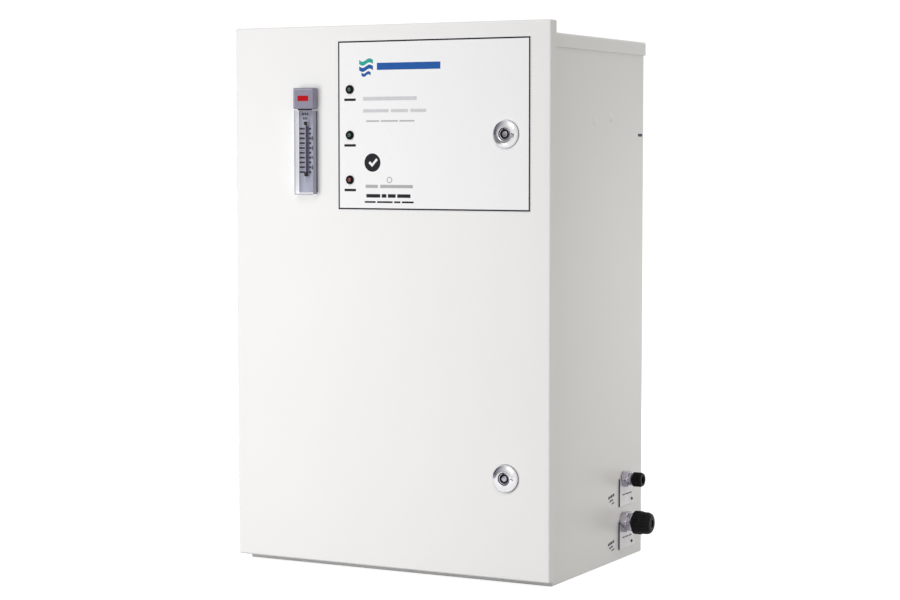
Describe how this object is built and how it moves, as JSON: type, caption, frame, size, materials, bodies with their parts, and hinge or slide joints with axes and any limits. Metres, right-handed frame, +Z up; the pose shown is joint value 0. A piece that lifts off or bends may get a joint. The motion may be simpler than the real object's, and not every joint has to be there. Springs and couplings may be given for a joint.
{
  "type": "pool ozone generator",
  "caption": "White sheet-steel wall cabinet with hinged keyed door, panel air flowmeter, indicator lamps and side fittings; ozone cells, power supplies and board inside.",
  "frame": {"origin": "centre of the cabinet's base", "axes": "+Z up, -Y out of the door, +X towards the side with the two fittings"},
  "size_m": [0.4363, 0.2861, 0.623],
  "materials": {
    "paint_white": "fine orange-peel powder coat, semi-gloss",
    "chrome": "polished",
    "steel": "brushed",
    "zinc": "zinc plated, satin",
    "aluminium": "extruded, satin",
    "black_plastic": "moulded, fine texture",
    "grey_plastic": "moulded, satin",
    "natural_plastic": "natural fluoropolymer, satin",
    "clear_plastic": "clear acrylic, polished edges",
    "foam": "closed-cell foam",
    "label_film": "printed film, satin",
    "lens_green": "domed lens",
    "lens_red": "domed lens",
    "circuit_board": "solder-masked board with black parts"
  },
  "bodies": {
    "root": {"cabinet_body": "paint_white", "top_cover": "paint_white", "hinge_body_leaf": "steel", "hinge_pin": "steel", "outlet_tag": "zinc", "outlet_body": "steel", "outlet_nut": "black_plastic", "outlet_locknut": "zinc", "gland_tag": "zinc", "gland_body": "steel", "gland_nut": "black_plastic", "gland_locknut": "black_plastic", "equipment_plate": "zinc", "ozone_cell_left": "aluminium", "ozone_cell_left_cap_top": "black_plastic", "ozone_cell_left_cap_bottom": "black_plastic", "ozone_cell_left_saddle_top": "natural_plastic", "ozone_cell_left_saddle_bottom": "natural_plastic", "transformer_left": "black_plastic", "ozone_cell_right": "aluminium", "ozone_cell_right_cap_top": "black_plastic", "ozone_cell_right_cap_bottom": "black_plastic", "ozone_cell_right_saddle_top": "natural_plastic", "ozone_cell_right_saddle_bottom": "natural_plastic", "transformer_right": "black_plastic", "control_board": "circuit_board", "terminal_block": "black_plastic", "vacuum_switch": "grey_plastic", "check_valve": "natural_plastic", "fan_frame": "black_plastic", "coupling_hose": "natural_plastic", "cell_link_hose": "natural_plastic", "ozone_hose": "natural_plastic", "door_hose": "natural_plastic", "lamp_harness": "black_plastic"},
    "door": {"hinge_door_leaf": "steel", "door_panel": "paint_white", "door_gasket": "foam", "front_label": "label_film", "lamp_power_bezel": "black_plastic", "lamp_power_lens": "lens_green", "lamp_ozone_bezel": "black_plastic", "lamp_ozone_lens": "lens_green", "lamp_vacuum_bezel": "black_plastic", "lamp_vacuum_lens": "lens_red", "lock_upper_housing": "chrome", "lock_upper_nut": "zinc", "lock_lower_housing": "chrome", "lock_lower_nut": "zinc", "flowmeter_body": "clear_plastic", "flowmeter_head": "grey_plastic", "flowmeter_scale": "grey_plastic", "flowmeter_elbow": "black_plastic", "intake_filter": "natural_plastic"},
    "lock_upper": {"lock_upper_plug": "chrome", "lock_upper_cam": "zinc"},
    "lock_lower": {"lock_lower_plug": "chrome", "lock_lower_cam": "zinc"},
    "float": {"flowmeter_float": "black_plastic"},
    "fan": {"fan_rotor": "black_plastic"}
  },
  "joints": [
    {"name": "door_swing", "type": "hinge", "parent": "root", "child": "door", "pos_m": [-0.2, -0.126, 0.305], "axis": [0, 0, -1], "range_deg": [0, 120]},
    {"name": "lock_upper_turn", "type": "hinge", "parent": "door", "child": "lock_upper", "pos_m": [0.1491, -0.13, 0.4994], "axis": [0, -1, 0], "range_deg": [0, 90]},
    {"name": "lock_lower_turn", "type": "hinge", "parent": "door", "child": "lock_lower", "pos_m": [0.1491, -0.13, 0.12], "axis": [0, -1, 0], "range_deg": [0, 90]},
    {"name": "float_rise", "type": "slide", "parent": "door", "child": "float", "axis": [0, 0, 1], "range_m": [0, 0.0508]},
    {"name": "fan_spin", "type": "hinge", "parent": "root", "child": "fan", "pos_m": [-0.18, 0.02, 0.19], "axis": [1, 0, 0], "continuous": true}
  ]
}
